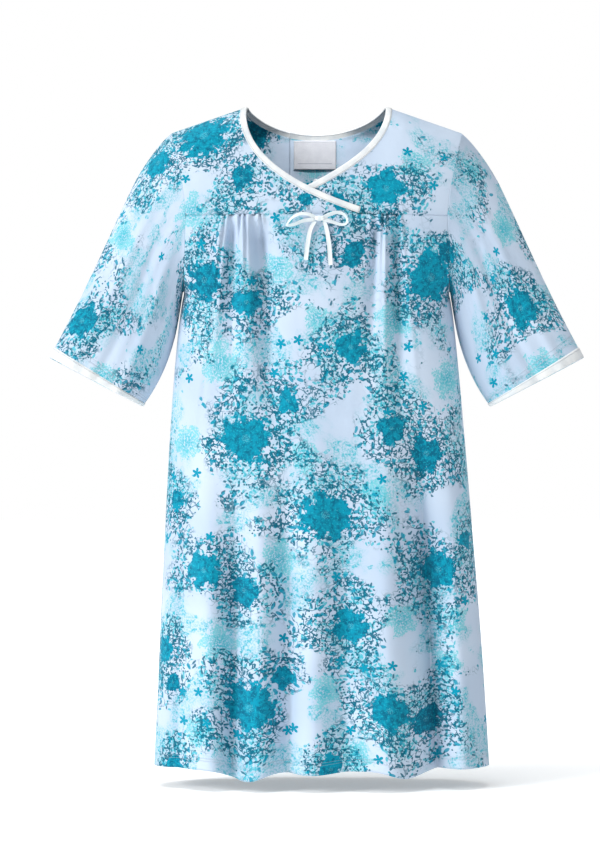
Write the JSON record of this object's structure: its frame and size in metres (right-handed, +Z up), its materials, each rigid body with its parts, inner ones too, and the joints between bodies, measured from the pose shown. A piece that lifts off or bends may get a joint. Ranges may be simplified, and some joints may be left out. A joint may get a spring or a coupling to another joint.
{
  "type": "patient gown",
  "caption": "Short-sleeved crossover-neck patient gown with gathered yoke, ribbon bow and an open back that overlaps and closes with snaps.",
  "frame": {"origin": "on the centre line, level with the two points where the neckline meets the shoulder seams, midway between front and back", "axes": "+Z up the gown, -Y out of its front, +X to the right of someone facing the front"},
  "size_m": [0.834, 0.2252, 1.0411],
  "materials": {
    "printed_cloth": "soft matt cotton blend, pale blue-white with a teal floral print",
    "binding_tape": "matt off-white folded tape, topstitched",
    "satin_ribbon": "satin, off-white",
    "label_cloth": "smooth woven label, pale grey",
    "snap_metal": "white enamel"
  },
  "bodies": {
    "torso": {"front_skirt": "printed_cloth", "front_yoke_over": "printed_cloth", "front_yoke_under": "printed_cloth", "neck_binding_over": "binding_tape", "neck_binding_under": "binding_tape", "back_panel_left": "printed_cloth", "back_panel_right": "printed_cloth", "neck_binding_back_left": "binding_tape", "neck_binding_back_right": "binding_tape", "bow_knot": "satin_ribbon", "bow_loop_left": "satin_ribbon", "bow_loop_right": "satin_ribbon", "bow_tail_left": "satin_ribbon", "bow_tail_right": "satin_ribbon"},
    "left_sleeve": {"sleeve_left": "printed_cloth", "cuff_binding_left": "binding_tape"},
    "right_sleeve": {"sleeve_right": "printed_cloth", "cuff_binding_right": "binding_tape"},
    "outer_flap": {"back_flap_outer": "printed_cloth", "neck_binding_flap_outer": "binding_tape", "snap_cap_1": "snap_metal", "snap_socket_1": "snap_metal", "snap_cap_2": "snap_metal", "snap_socket_2": "snap_metal", "snap_cap_3": "snap_metal", "snap_socket_3": "snap_metal"},
    "inner_flap": {"back_flap_inner": "printed_cloth", "neck_binding_flap_inner": "binding_tape", "snap_stud_1": "snap_metal", "snap_ring_1": "snap_metal", "snap_stud_2": "snap_metal", "snap_ring_2": "snap_metal", "snap_stud_3": "snap_metal", "snap_ring_3": "snap_metal"},
    "label_tag": {"label": "label_cloth"}
  },
  "joints": [
    {"name": "left_sleeve_lift", "type": "hinge", "parent": "torso", "child": "left_sleeve", "pos_m": [-0.2262, 0, -0.0395], "axis": [0, 1, 0], "range_deg": [0, 30]},
    {"name": "right_sleeve_lift", "type": "hinge", "parent": "torso", "child": "right_sleeve", "pos_m": [0.2262, 0, -0.0395], "axis": [0, -1, 0], "range_deg": [0, 30]},
    {"name": "outer_flap_open", "type": "hinge", "parent": "torso", "child": "outer_flap", "pos_m": [-0.092, 0.0925, 0], "axis": [0.0557, -0.0058, 0.9984], "range_deg": [0, 140]},
    {"name": "inner_flap_open", "type": "hinge", "parent": "torso", "child": "inner_flap", "pos_m": [0.092, 0.0925, 0], "axis": [0.0557, 0.0058, -0.9984], "range_deg": [0, 50.4]},
    {"name": "label_flip", "type": "hinge", "parent": "inner_flap", "child": "label_tag", "pos_m": [-0.002, 0.0855, -0.0425], "axis": [-1, 0, 0], "range_deg": [0, 100]}
  ],
  "couplings": [
    {"joint": "inner_flap_open", "follows": "outer_flap_open", "ratio": 0.36}
  ]
}
